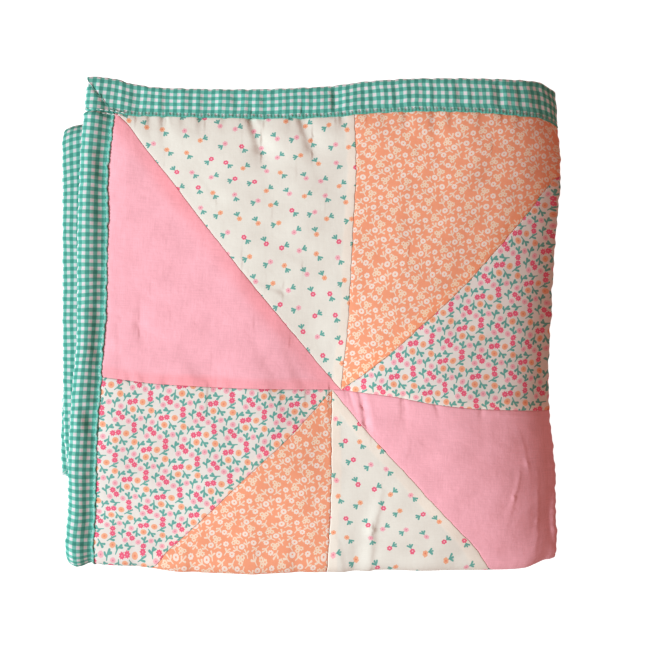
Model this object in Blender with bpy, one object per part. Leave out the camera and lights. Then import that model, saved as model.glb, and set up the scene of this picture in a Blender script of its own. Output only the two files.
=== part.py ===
# A patchwork quilt for a cot, folded in half across its width and then back and forth in three
# lengthwise, lying flat. Metres, +Z up, origin under the middle of the folded stack.
#
# Every piece is a slab on the quilt's own cloth: u runs across it from the bound edge of the upper half,
# round the fold at the right, to the bound edge of the lower half, and v runs along it from the head to
# the foot. folded() carries a point of the cloth to its place in the stack.

import math

import bpy
import numpy as np

# Flat sizes
WIDTH = 0.900  # across, bound edge to bound edge
BINDING = 0.0275  # width of the gingham binding
PADDING = 0.0070  # thickness of the pieced top, filling and backing
SEAM_PLY = 0.0044  # thickness where the binding is sewn on
SEAM_GAP = 0.0003  # between a binding and the body
MITRE_GAP = 0.00045  # between two bindings, along the strip
DRAW_IN = 0.016  # how far the padding thins towards its sewn edges
COLUMN_SEAM = 0.244  # u of the patch seam that runs along the upper half
ROW_SEAM = 0.291  # v of the patch seam that runs across the top run
SEAM_TROUGH = 0.0010  # depth of a patch seam
TROUGH_HALF = 0.009  # half its width

# The fold in half, at the right
FOLD_AT = 0.437  # u of the fold
HALF_GAP = 0.0010  # between the two halves

# The back-and-forth folds
RUN_GAP = 0.0012  # between one run and the next
HEAD_Y = 0.2305  # the head, on the top run
FRONT_FOLD_Y = -0.2327  # outside of the fold from the top run to the middle one
BACK_FOLD_Y = 0.1895  # outside of the fold from the middle run to the lowest one
FOOT_Y = -0.1440  # the foot, on the lowest run
FRONT_RADIUS = 0.0120  # centre line of the front fold, which stays open and round
HEAD_DROOP = 0.0090  # how far the head sinks past the back fold
HEAD_DIP = (0.172, 0.070)  # y where that starts, and over what length
FRONT_DIP = (-0.133, 0.080)  # the same for the top run's way down to the front fold
MIDDLE_DIP = (-0.129, 0.076)  # and for the middle run's, past the foot of the lowest one
STACK_MIDDLE = (-0.0003, -0.0012)  # where the tables' zero lies from the middle of the stack
RUN_POINTS, TURN_POINTS = 400, 60  # points of the centre line on each run and each fold
SAME_POINT = 1e-7  # points nearer than this are one

BODY_EDGE = BINDING + SEAM_GAP
DOUBLED = 2 * PADDING + HALF_GAP
PITCH = DOUBLED + RUN_GAP
MID = (PADDING + HALF_GAP) / 2  # each half's middle from the middle of the doubled cloth
BACK_RADIUS = PITCH / 2
RUN_Z = (DOUBLED / 2 + 2 * PITCH, DOUBLED / 2 + PITCH, DOUBLED / 2)  # top, middle, lowest
FRONT_AXIS_Z = DOUBLED / 2 + FRONT_RADIUS
FRONT_AXIS_Y = FRONT_FOLD_Y + FRONT_RADIUS + DOUBLED / 2
BACK_AXIS_Y = BACK_FOLD_Y - BACK_RADIUS - DOUBLED / 2

# Where the edges lie: distance along the quilt, x of the upper half's bound edge, x of the lower half's,
# x of the fold at the right
EDGES = np.array([
    (0.000, -0.2062, -0.2020, 0.2300),
    (0.035, -0.2090, -0.2045, 0.2335),
    (0.080, -0.2122, -0.2080, 0.2354),
    (0.160, -0.2150, -0.2110, 0.2300),
    (0.235, -0.2152, -0.2115, 0.2253),
    (0.290, -0.2195, -0.2150, 0.2218),
    (0.346, -0.2226, -0.2180, 0.2267),
    (0.402, -0.2240, -0.2200, 0.2300),
    (0.444, -0.2272, -0.2264, 0.2305),  # front fold
    (0.482, -0.2288, -0.2288, 0.2300),
    (0.508, -0.2257, -0.2257, 0.2260),
    (0.550, -0.2240, -0.2257, 0.2190),
    (0.596, -0.2265, -0.2302, 0.2130),
    (0.715, -0.2280, -0.2316, 0.2060),
    (0.870, -0.2308, -0.2317, 0.2020),  # back fold
    (0.895, -0.2312, -0.2319, 0.2016),
    (0.970, -0.2328, -0.2305, 0.2010),
    (1.100, -0.2330, -0.2310, 0.2020),
    (1.184, -0.2360, -0.2335, 0.2035),
    (1.214, -0.2355, -0.2330, 0.2030),
])

# How far the outline of each end and fold strays from its line: share of the way across, shift in y
HEAD_LINE = np.array([
    (0.00, -0.0008), (0.05, -0.0027), (0.10, -0.0085), (0.16, -0.0120), (0.35, -0.0139),
    (0.50, -0.0117), (0.60, -0.0064), (0.70, -0.0040), (0.87, -0.0034), (0.95, -0.0034), (1.00, -0.0100),
])
FRONT_LINE = np.array([
    (0.00, 0.0120), (0.02, 0.0090), (0.06, 0.0075), (0.16, 0.0050), (0.24, 0.0008), (0.40, 0.0000),
    (0.55, 0.0016), (0.65, 0.0036), (0.87, 0.0026), (0.93, 0.0038), (0.955, 0.0068), (0.98, 0.0100),
    (1.00, 0.0080),
])
BACK_LINE = np.array([(0.00, -0.0060), (0.02, -0.0025), (0.06, 0.0000), (0.50, -0.0020), (1.00, -0.0060)])
FOOT_LINE = np.array([(0.00, 0.0020), (0.03, 0.0000), (0.50, 0.0030), (1.00, 0.0080)])
# How far along the cloth, from its end or fold, each of those straying outlines dies away
HEAD_REACH, FRONT_REACH, BACK_REACH, FOOT_REACH = 0.17, 0.16, 0.10, 0.15

# How far the top run sinks over the right side of the runs below: y, depth at its edge
RIGHT_SINK = np.array([(-0.24, 0.0115), (-0.19, 0.0125), (-0.10, 0.0195), (0.10, 0.0210), (0.24, 0.0170)])
SINK_FROM, SINK_FULL = 0.110, 0.2315  # x where the sinking starts, and where it has its full depth
SINK_POWER, SINK_MOST = 3.2, 1.1  # how late it sets in, and the share of that width where it stops growing

# The stack's own unevenness: share of its height, then the turns a metre and the starts of its waves
UNEVEN = 0.018
WAVE_ACROSS, WAVE_ALONG = (17.0, 1.1), (14.0, 0.7)
WAVE_SLANTED, SLANTED_SHARE = (31.0, -19.0), 0.5

# Where the stations lie closer together beside a fold
SINK_SPAN = 0.078
DIP_SPAN = 0.090

# The binding's section: distance in from the edge, half of its thickness
BINDING_SECTION = np.array([
    (0.0000, 0.0008), (0.0018, 0.0024), (0.0080, 0.0034), (0.0190, 0.0033), (BINDING, SEAM_PLY / 2),
])

PATCH_TINT = (0.80, 0.45, 0.40)
BINDING_TINT = (0.16, 0.42, 0.36)
SHARP_ANGLE = math.radians(50)  # a steeper edge is shaded sharp


def smooth(t):
    # 0 below 0, 1 above 1, and level at both ends.
    t = np.clip(t, 0.0, 1.0)
    return t * t * t * (t * (6 * t - 15) + 10)


def curve(rows, column, at):
    # A table's column at any place between its rows, as one smooth curve with no overshoot.
    place, value = rows[:, 0], rows[:, column]
    rise = np.diff(value) / np.diff(place)
    same_way = rise[1:] * rise[:-1] > 0
    bend = np.where(same_way, 2 * rise[1:] * rise[:-1] / np.where(same_way, rise[1:] + rise[:-1], 1), 0)
    slope = np.concatenate([[rise[0]], bend, [rise[-1]]])
    at = np.clip(at, place[0], place[-1])
    row = np.clip(np.searchsorted(place, at, side="right") - 1, 0, len(place) - 2)
    span = place[row + 1] - place[row]
    t = (at - place[row]) / span
    low = value[row] * (1 + 2 * t) * (1 - t) ** 2 + slope[row] * span * t * (1 - t) ** 2
    return low + value[row + 1] * t * t * (3 - 2 * t) + slope[row + 1] * span * t * t * (t - 1)


def top_run_z(y):
    # The top run dips at its head and towards the front fold.
    head = HEAD_DROOP * smooth((y - HEAD_DIP[0]) / HEAD_DIP[1])
    front = (RUN_Z[0] - FRONT_AXIS_Z - FRONT_RADIUS) * smooth((FRONT_DIP[0] - y) / FRONT_DIP[1])
    return RUN_Z[0] - head - front


def middle_run_z(y):
    # The middle run comes down to the surface past the foot of the lowest one.
    return RUN_Z[1] - (RUN_Z[1] - RUN_Z[2]) * smooth((MIDDLE_DIP[0] - y) / MIDDLE_DIP[1])


def centre_line():
    # The doubled cloth's middle, seen from the side: its distance along, y, z and direction.
    top_y = np.linspace(HEAD_Y, FRONT_AXIS_Y, RUN_POINTS)
    middle_y = np.linspace(FRONT_AXIS_Y, BACK_AXIS_Y, RUN_POINTS)
    low_y = np.linspace(BACK_AXIS_Y, FOOT_Y, RUN_POINTS)
    turn = np.linspace(0, math.pi, TURN_POINTS)
    y = np.concatenate([
        top_y, FRONT_AXIS_Y - FRONT_RADIUS * np.sin(turn),
        middle_y, BACK_AXIS_Y + BACK_RADIUS * np.sin(turn), low_y,
    ])
    z = np.concatenate([
        top_run_z(top_y), FRONT_AXIS_Z + FRONT_RADIUS * np.cos(turn),
        middle_run_z(middle_y), (RUN_Z[1] + RUN_Z[2]) / 2 + BACK_RADIUS * np.cos(turn),
        np.full(RUN_POINTS, RUN_Z[2]),
    ])
    keep = np.concatenate([[True], np.hypot(np.diff(y), np.diff(z)) > SAME_POINT])
    y, z = y[keep], z[keep]
    along = np.concatenate([[0], np.cumsum(np.hypot(np.diff(y), np.diff(z)))])
    return along, y, z, np.gradient(y, along), np.gradient(z, along)


ALONG, LINE_Y, LINE_Z, LINE_DY, LINE_DZ = centre_line()
LENGTH = ALONG[-1]
FRONT_TURN = HEAD_Y - FRONT_AXIS_Y  # v where the front fold starts, near enough
FRONT_TURN_END = FRONT_TURN + math.pi * FRONT_RADIUS
BACK_TURN = LENGTH - (BACK_AXIS_Y - FOOT_Y) - math.pi * BACK_RADIUS
BACK_TURN_END = BACK_TURN + math.pi * BACK_RADIUS


def halved(u, v, off):
    # The fold in half: x, and the height off the doubled cloth's middle, of a point that lies off
    # above the cloth's own middle.
    upper_x, lower_x, fold_x = (curve(EDGES, k, v) for k in (1, 2, 3))
    axis_x = fold_x - MID - PADDING / 2
    straight = FOLD_AT - math.pi * MID / 2
    rest = WIDTH - straight - math.pi * MID
    angle = np.clip((u - straight) / MID, 0, math.pi)
    past = np.clip((u - straight - math.pi * MID) / rest, 0, None)
    x = np.where(u < straight, upper_x + (axis_x - upper_x) * u / straight,
                 axis_x + (MID + off) * np.sin(angle) + (lower_x - axis_x) * past)
    return x, (MID + off) * np.cos(angle), (x - upper_x) / (fold_x - upper_x)


def settled(x, y, z):
    # The right side sinks: the top run keeps its thickness, and the runs below it are pressed flatter.
    share = np.clip((x - SINK_FROM) / (SINK_FULL - SINK_FROM), 0, SINK_MOST)
    depth = curve(RIGHT_SINK, 1, y) * share ** SINK_POWER
    z = z - depth * np.clip(z / (top_run_z(y) - DOUBLED / 2), 0, 1)
    crossed = np.sin(WAVE_ACROSS[0] * x + WAVE_ACROSS[1]) * np.sin(WAVE_ALONG[0] * y + WAVE_ALONG[1])
    slanted = SLANTED_SHARE * np.sin(WAVE_SLANTED[0] * x + WAVE_SLANTED[1] * y)
    return z * (1 + UNEVEN * (crossed + slanted))


def folded(u, v, off):
    # The place in the stack of the cloth's point u, v, off above its middle on the patchwork side.
    u, v, off = np.broadcast_arrays(u, v, off)
    x, height, share = halved(u, v, off)
    y, z, dy, dz = (np.interp(v, ALONG, line) for line in (LINE_Y, LINE_Z, LINE_DY, LINE_DZ))
    size = np.hypot(dy, dz)
    y = y + height * dz / size
    z = z - height * dy / size
    from_front = np.abs(v - (FRONT_TURN + FRONT_TURN_END) / 2)
    from_back = np.abs(v - (BACK_TURN + BACK_TURN_END) / 2)
    for line, away, reach in ((HEAD_LINE, v, HEAD_REACH), (FRONT_LINE, from_front, FRONT_REACH),
                              (BACK_LINE, from_back, BACK_REACH), (FOOT_LINE, LENGTH - v, FOOT_REACH)):
        y = y + curve(line, 1, share) * (1 - smooth(away / reach))
    z = settled(x, y, z)
    return np.stack([x - STACK_MIDDLE[0], y - STACK_MIDDLE[1], z], axis=-1)


def body_half(u, v):
    # Half the padding's thickness, thinner towards the sewn edges.
    inset = np.minimum(np.minimum(u, WIDTH - u), np.minimum(v, LENGTH - v)) - BINDING
    return SEAM_PLY / 2 + (PADDING - SEAM_PLY) / 2 * np.sqrt(np.clip(inset / DRAW_IN, 0, 1))


def trough(u, v):
    # The patch seams' depth on the upper half's face.
    across = np.clip(1 - np.abs(u - COLUMN_SEAM) / TROUGH_HALF, 0, 1)
    along = np.clip(1 - np.abs(v - ROW_SEAM) / TROUGH_HALF, 0, 1)
    return SEAM_TROUGH * np.maximum(across, along) * (u < FOLD_AT)


def slab(name, u, v, face, back, material):
    # A closed solid over a grid of the cloth: its face, its back and the four walls between them.
    rows, columns = u.shape
    points = np.concatenate([folded(u, v, face).reshape(-1, 3), folded(u, v, -back).reshape(-1, 3)])
    grid = np.arange(rows * columns).reshape(rows, columns)
    under = grid + rows * columns
    a, b, c, d = grid[:-1, :-1], grid[1:, :-1], grid[1:, 1:], grid[:-1, 1:]
    faces = [np.stack([a, b, c, d], -1).reshape(-1, 4)]
    faces.append(np.stack([d, c, b, a], -1).reshape(-1, 4) + rows * columns)
    for edge, low in ((grid[0], under[0]), (grid[:, -1], under[:, -1]),
                      (grid[-1, ::-1], under[-1, ::-1]), (grid[::-1, 0], under[::-1, 0])):
        faces.append(np.stack([edge[:-1], edge[1:], low[1:], low[:-1]], -1))
    mesh = bpy.data.meshes.new(name)
    mesh.from_pydata(points.tolist(), [], np.concatenate(faces).tolist())
    mesh.materials.append(material)
    mesh.shade_smooth()
    mesh.set_sharp_from_angle(angle=SHARP_ANGLE)
    piece = bpy.data.objects.new(name, mesh)
    bpy.context.collection.objects.link(piece)
    return piece


def fabric(name, tint, roughness):
    material = bpy.data.materials.new(name)
    material.use_nodes = True
    shader = material.node_tree.nodes["Principled BSDF"]
    shader.inputs["Base Color"].default_value = (*tint, 1)
    shader.inputs["Roughness"].default_value = roughness
    shader.inputs["Metallic"].default_value = 0
    return material


def stations(*spans):
    # Places along one direction: each span is its start, its end and its number of steps.
    parts = [np.linspace(start, end, steps, endpoint=False) for start, end, steps in spans]
    return np.concatenate([*parts, [spans[-1][1]]])


def across_stations():
    # Across the body, closer together at its sewn edges, its seam and the fold.
    start, end = BODY_EDGE, WIDTH - BODY_EDGE
    turn, turn_end = FOLD_AT - math.pi * MID / 2, FOLD_AT + math.pi * MID / 2
    return stations(
        (start, start + DRAW_IN, 2), (start + DRAW_IN, COLUMN_SEAM - TROUGH_HALF, 3),
        (COLUMN_SEAM - TROUGH_HALF, COLUMN_SEAM + TROUGH_HALF, 2),
        (COLUMN_SEAM + TROUGH_HALF, turn - SINK_SPAN, 3), (turn - SINK_SPAN, turn, 6),
        (turn, turn_end, 6), (turn_end, turn_end + SINK_SPAN, 6),
        (turn_end + SINK_SPAN, end - DRAW_IN, 5), (end - DRAW_IN, end, 2),
    )


def along_stations():
    # Along the body, closer together at its sewn edges, its seam and the folds.
    start, end = BODY_EDGE, LENGTH - BODY_EDGE
    return stations(
        (start, start + DRAW_IN, 2), (start + DRAW_IN, ROW_SEAM - TROUGH_HALF, 5),
        (ROW_SEAM - TROUGH_HALF, ROW_SEAM + TROUGH_HALF, 2), (ROW_SEAM + TROUGH_HALF, FRONT_TURN, 6),
        (FRONT_TURN, FRONT_TURN_END, 8), (FRONT_TURN_END, FRONT_TURN_END + DIP_SPAN, 6),
        (FRONT_TURN_END + DIP_SPAN, BACK_TURN, 3), (BACK_TURN, BACK_TURN_END, 7),
        (BACK_TURN_END, end - DRAW_IN, 4), (end - DRAW_IN, end, 2),
    )


def build_body(material):
    v, u = np.meshgrid(along_stations(), across_stations(), indexing="ij")
    half = body_half(u, v)
    slab("quilt_body", u, v, half - trough(u, v), half, material)


def build_side_binding(name, lower, material):
    # A strip down a long edge, cut at 45 degrees at both ends.
    inset, half = BINDING_SECTION.T
    cut = inset + MITRE_GAP / 2
    share = (along_stations()[:, None] - BODY_EDGE) / (LENGTH - 2 * BODY_EDGE)
    v = cut + share * (LENGTH - 2 * cut)
    u, half = np.broadcast_to(inset, v.shape), np.broadcast_to(half, v.shape)
    if lower:
        u, v, half = WIDTH - u[:, ::-1], v[:, ::-1], half[:, ::-1]
    slab(name, u, v, half, half, material)


def build_end_binding(name, foot, material):
    # A strip across a short end, which turns with the fold at the right.
    inset, half = (column[:, None] for column in BINDING_SECTION.T)
    cut = inset + MITRE_GAP / 2
    share = (across_stations() - BODY_EDGE) / (WIDTH - 2 * BODY_EDGE)
    u = cut + share * (WIDTH - 2 * cut)
    v, half = np.broadcast_to(inset, u.shape), np.broadcast_to(half, u.shape)
    if foot:
        u, v, half = u[::-1], LENGTH - v[::-1], half[::-1]
    slab(name, u, v, half, half, material)


def main():
    for old in list(bpy.data.objects):
        bpy.data.objects.remove(old)
    patchwork = fabric("patchwork_cotton", PATCH_TINT, 0.85)
    gingham = fabric("gingham_cotton", BINDING_TINT, 0.80)
    build_body(patchwork)
    build_end_binding("binding_head", False, gingham)
    build_end_binding("binding_foot", True, gingham)
    build_side_binding("binding_side_upper", False, gingham)
    build_side_binding("binding_side_lower", True, gingham)


main()
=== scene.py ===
import math

import bpy
import numpy as np
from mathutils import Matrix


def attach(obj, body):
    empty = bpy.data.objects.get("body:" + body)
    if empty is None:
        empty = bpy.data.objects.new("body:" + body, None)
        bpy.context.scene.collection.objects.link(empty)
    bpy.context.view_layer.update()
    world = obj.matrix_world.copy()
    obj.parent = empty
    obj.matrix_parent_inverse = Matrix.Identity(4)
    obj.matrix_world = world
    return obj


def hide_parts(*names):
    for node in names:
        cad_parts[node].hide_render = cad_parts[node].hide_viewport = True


# A cot quilt of pieced cottons with a gingham binding, folded in half and then in three.
# Every piece lies on the quilt's own cloth: u runs across it, v runs along it from the head, both in
# metres, and foldedPoint() carries a place on the cloth to its place in the stack.

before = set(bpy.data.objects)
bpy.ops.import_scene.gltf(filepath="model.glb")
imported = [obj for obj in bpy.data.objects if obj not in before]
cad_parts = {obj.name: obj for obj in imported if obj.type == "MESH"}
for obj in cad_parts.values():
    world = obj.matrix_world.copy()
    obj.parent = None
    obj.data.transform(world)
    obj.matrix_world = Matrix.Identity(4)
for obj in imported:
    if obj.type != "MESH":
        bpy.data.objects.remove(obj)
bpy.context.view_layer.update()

mm = 0.001  # the longer tables are in millimetres, all else in metres

quilt = {
    "width": 0.900, "binding": 0.0275, "padding": 0.0070, "seamPly": 0.0044, "drawIn": 0.016,
    "foldAt": 0.437, "halfGap": 0.0010, "runGap": 0.0012,
    "headY": 0.2305, "frontFoldY": -0.2327, "backFoldY": 0.1895, "footY": -0.1440,
    "frontRadius": 0.0120, "headDroop": 0.0090, "foldRipple": 0.0005,
    "headDip": (0.172, 0.070), "frontDip": (-0.133, 0.080), "middleDip": (-0.129, 0.076),  # y, reach
    "stackMiddle": (-0.0003, -0.0012), "leastHeight": 0.0015, "uneven": 0.018,
    "dimple": (0.0150, -0.0500, 0.050, 0.080, 0.150),  # x, y, how wide and tall, share of the height
}
doubled = 2 * quilt["padding"] + quilt["halfGap"]
pitch = doubled + quilt["runGap"]
midHeight = (quilt["padding"] + quilt["halfGap"]) / 2
backRadius = pitch / 2
runHeights = (doubled / 2 + 2 * pitch, doubled / 2 + pitch, doubled / 2)
frontAxisZ = doubled / 2 + quilt["frontRadius"]
frontAxisY = quilt["frontFoldY"] + quilt["frontRadius"] + doubled / 2
backAxisY = quilt["backFoldY"] - backRadius - doubled / 2

# v, x of the upper half's bound edge, x of the lower half's, x of the fold at the right
edgeLines = np.array([
    (0, -206.2, -202, 230), (35, -209, -204.5, 233.5), (80, -212.2, -208, 235.4), (160, -215, -211, 230.2),
    (235, -215.2, -211.5, 226.4), (290, -219.5, -215, 224.1), (346, -222.6, -218, 228.4),
    (402, -224, -220, 231.6), (444, -227.2, -226.4, 232.4), (482, -228.8, -228.8, 231.6),
    (508, -225.7, -225.7, 225.8), (550, -224, -225.7, 219), (596, -226.5, -230.2, 213),
    (715, -228, -231.6, 206), (870, -230.8, -231.7, 202), (895, -231.2, -231.9, 201.6),
    (970, -232.8, -230.5, 201), (1100, -233, -231, 202), (1184, -236, -233.5, 203.5),
    (1214, -235.5, -233, 203)]) * mm
# share of the way across, shift in y of each end's and fold's outline
headLine = np.array([
    (0, -0.8), (0.05, -2.7), (0.1, -8.5), (0.16, -12), (0.35, -13.9), (0.5, -11.7), (0.6, -6.4), (0.7, -4),
    (0.87, -3.4), (0.95, -3.4), (1, -10)]) * (1, mm)
frontLine = np.array([
    (0, 12), (0.02, 9), (0.06, 7.5), (0.16, 5), (0.24, 0.8), (0.4, 0), (0.55, 1.6), (0.65, 3.6),
    (0.87, 2.6), (0.93, 3.8), (0.955, 6.8), (0.98, 10), (0.992, 9.6), (1, 7)]) * (1, mm)
backLine = np.array([(0, -6), (0.02, -2.5), (0.06, 0), (0.5, -2), (1, -6)]) * (1, mm)
footLine = np.array([(0, 2), (0.03, 0), (0.5, 3), (1, 8)]) * (1, mm)
# how far the right side sinks: distance in from the top run's fold, depth towards the front and at the head,
# where less than nothing is the crown of the stack; then y and the share of each
rightSink = np.array([
    (0, 30.7, 28.1), (1.5, 30.5, 27.8), (4, 29.7, 26.7), (7, 27.6, 24.7), (10.5, 24.3, 22),
    (15, 20.5, 18.6), (20, 16.9, 15.3), (25.5, 13.6, 12.2), (31.5, 10.6, 9.3), (38, 7.8, 6.6),
    (45, 5.3, 4.3), (52.5, 3.1, 2.1), (61, 0.9, 0.1), (70, -1, -1.6), (80, -2.9, -3.2), (92, -4.8, -4.8),
    (105, -6.2, -6.2), (120, -7.1, -7.1), (135, -7.7, -7.7), (150, -8, -8), (170, -8.1, -8.1),
    (230, -7.8, -7.8), (320, -4, -4), (420, 0, 0), (480, 0, 0)]) * mm
sinkShare = np.array([
    (-240, 0.55, 0), (-205, 0.76, 0), (-165, 0.97, 0), (-100, 1, 0), (20, 0.45, 0.55), (165, 0, 1),
    (240, 0, 0.86)]) * (mm, 1, 1)


def smooth(t):
    # 6t^5 - 15t^4 + 10t^3 between 0 and 1, held beyond them
    t = np.clip(t, 0.0, 1.0)
    return t * t * t * (t * (6 * t - 15) + 10)


def waves(at, *terms):
    # a sum of sines: each term's height times sin(rate x at + start)
    return sum(height * np.sin(rate * at + start) for height, rate, start in terms)


def curve(rows, column, at):
    # a table's column between its rows, as cubics whose slopes are harmonic means, so it never overshoots
    place, value = rows[:, 0], rows[:, column]
    rise = np.diff(value) / np.diff(place)
    sameWay = rise[1:] * rise[:-1] > 0
    bend = np.where(sameWay, 2 * rise[1:] * rise[:-1] / np.where(sameWay, rise[1:] + rise[:-1], 1), 0)
    slope = np.concatenate([[rise[0]], bend, [rise[-1]]])
    at = np.clip(at, place[0], place[-1])
    row = np.clip(np.searchsorted(place, at, side="right") - 1, 0, len(place) - 2)
    span = place[row + 1] - place[row]
    t = (at - place[row]) / span
    low = value[row] * (1 + 2 * t) * (1 - t) ** 2 + slope[row] * span * t * (1 - t) ** 2
    return low + value[row + 1] * t * t * (3 - 2 * t) + slope[row + 1] * span * t * t * (t - 1)


def topRunZ(y):
    # the top run dips at its head and towards the front fold
    head = quilt["headDroop"] * smooth((y - quilt["headDip"][0]) / quilt["headDip"][1])
    drop = runHeights[0] - frontAxisZ - quilt["frontRadius"]
    return runHeights[0] - head - drop * smooth((quilt["frontDip"][0] - y) / quilt["frontDip"][1])


def middleRunZ(y):
    # the middle run comes down past the foot of the lowest one
    drop = runHeights[1] - runHeights[2]
    return runHeights[1] - drop * smooth((quilt["middleDip"][0] - y) / quilt["middleDip"][1])


def centreLine():
    # straight runs joined by half circles: distance along, y, z and direction
    topY = np.linspace(quilt["headY"], frontAxisY, 400)
    middleY = np.linspace(frontAxisY, backAxisY, 400)
    turn = np.linspace(0, math.pi, 60)
    y = np.concatenate([
        topY, frontAxisY - quilt["frontRadius"] * np.sin(turn),
        middleY, backAxisY + backRadius * np.sin(turn), np.linspace(backAxisY, quilt["footY"], 300)])
    z = np.concatenate([
        topRunZ(topY), frontAxisZ + quilt["frontRadius"] * np.cos(turn), middleRunZ(middleY),
        (runHeights[1] + runHeights[2]) / 2 + backRadius * np.cos(turn), np.full(300, runHeights[2])])
    keep = np.concatenate([[True], np.hypot(np.diff(y), np.diff(z)) > 1e-7])
    y, z = y[keep], z[keep]
    along = np.concatenate([[0], np.cumsum(np.hypot(np.diff(y), np.diff(z)))])
    return along, y, z, np.gradient(y, along), np.gradient(z, along)


lineAlong, *lineValues = centreLine()
length = lineAlong[-1]
frontTurn = quilt["headY"] - frontAxisY
frontTurnEnd = frontTurn + math.pi * quilt["frontRadius"]
backTurn = length - (backAxisY - quilt["footY"]) - math.pi * backRadius
backTurnEnd = backTurn + math.pi * backRadius
# each outline's table, the v that it belongs to and how far along it reaches
outlines = ((headLine, 0.0, 0.17), (frontLine, (frontTurn + frontTurnEnd) / 2, 0.16),
            (backLine, (backTurn + backTurnEnd) / 2, 0.10), (footLine, length, 0.15))


def foldedPoint(u, v, off):
    # folds in half round an axis at the right, lays that on the centre line, then lets the right side sink
    u, v, off = np.broadcast_arrays(u, v, off)
    upperX, lowerX, foldX = (curve(edgeLines, k, v) for k in (1, 2, 3))
    ripple = waves(v, (0.5, 203, 1), (0.6, 361, 2), (0.5, 655, 0.5), (0.5, 90, 0))
    foldX = foldX + quilt["foldRipple"] * ripple
    axisX = foldX - midHeight - quilt["padding"] / 2
    straight = quilt["foldAt"] - math.pi * midHeight / 2
    angle = np.clip((u - straight) / midHeight, 0, math.pi)
    past = (u - straight - math.pi * midHeight) / (quilt["width"] - straight - math.pi * midHeight)
    x = np.where(u < straight, upperX + (axisX - upperX) * u / straight,
                 axisX + (midHeight + off) * np.sin(angle) + (lowerX - axisX) * np.clip(past, 0, None))
    height, share = (midHeight + off) * np.cos(angle), (x - upperX) / (foldX - upperX)
    y, z, dy, dz = (np.interp(v, lineAlong, line) for line in lineValues)
    size = np.hypot(dy, dz)
    y = y + height * dz / size
    z = z - height * dy / size
    for line, middle, reach in outlines:
        y = y + curve(line, 1, share) * (1 - smooth(np.abs(v - middle) / reach))
    inward = curve(edgeLines, 3, np.clip(quilt["headY"] - y, 0, frontTurn)) - x
    depth = sum(curve(rightSink, k, inward) * curve(sinkShare, k, y) for k in (1, 2))
    room = topRunZ(y) - doubled / 2
    z = z - np.minimum(depth, room - quilt["leastHeight"]) * np.clip(z / room, 0, 1)
    unevenness = np.sin(17 * x + 1.1) * np.sin(14 * y + 0.7) + 0.5 * np.sin(31 * x - 19 * y)
    dimpleX, dimpleY, wide, tall, share = quilt["dimple"]
    dip = share * np.exp(-((x - dimpleX) / wide) ** 2 - ((y - dimpleY) / tall) ** 2)
    z = z * (1 + quilt["uneven"] * unevenness - dip)
    return np.stack([x - quilt["stackMiddle"][0], y - quilt["stackMiddle"][1], z], axis=-1)


# what stands proud of the plain folded cloth
relief = {
    "seamDip": 0.00022, "dipReach": 0.0030,  # how deep a patch seam lies, and how far that reaches
    "swell": 0.0003, "swellReach": 0.020,  # a patch's crown
    "allowance": 0.00008,  # the turned cloth beside a seam
    "skirt": 0.0012,  # how far an edge tucks under its neighbour
    "sunk": 0.0016, "sunkReach": 0.0020,  # how a patch goes down under the binding
    "billow": 0.00044, "billowReach": 0.010,  # a patch's soft waves, which die out at its seams
    "crease": 0.80, "creaseWidth": 1.45, "creaseSpread": 1.1,
    "creaseSides": (1.7, 0.8),  # a crease's width on its gentle side and on its steep one
    "lastV": 0.462, "fadeV": 0.030, "lastU": 0.446, "fadeU": 0.018,  # where the top of the stack ends
}
# where the binding's stitched edge lies: along the upper side, and across the head
sideEdge = np.array([
    (0, 26.2), (36, 28.4), (60, 27.6), (85, 26.1), (105, 26.4), (130, 28.2), (163, 28.1), (200, 27.7),
    (227, 27), (246, 25.6), (264, 25.8), (285, 26.7), (301, 26.6), (319, 25.7), (367, 25.8), (387, 25.6),
    (407, 25), (428, 25.2), (454, 25.4), (500, 26.2), (560, 27.5)]) * mm
headEdge = np.array([
    (0, 35), (20, 34.8), (28, 33.8), (42, 32.3), (60, 29.7), (78, 28.9), (106, 29.3), (147, 29.7),
    (188, 30.9), (225, 31.5), (248, 32.4), (279, 33.1), (325, 33.5), (371, 35.1), (413, 37.1), (440, 37.8),
    (480, 34), (560, 27.5)]) * mm
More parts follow.
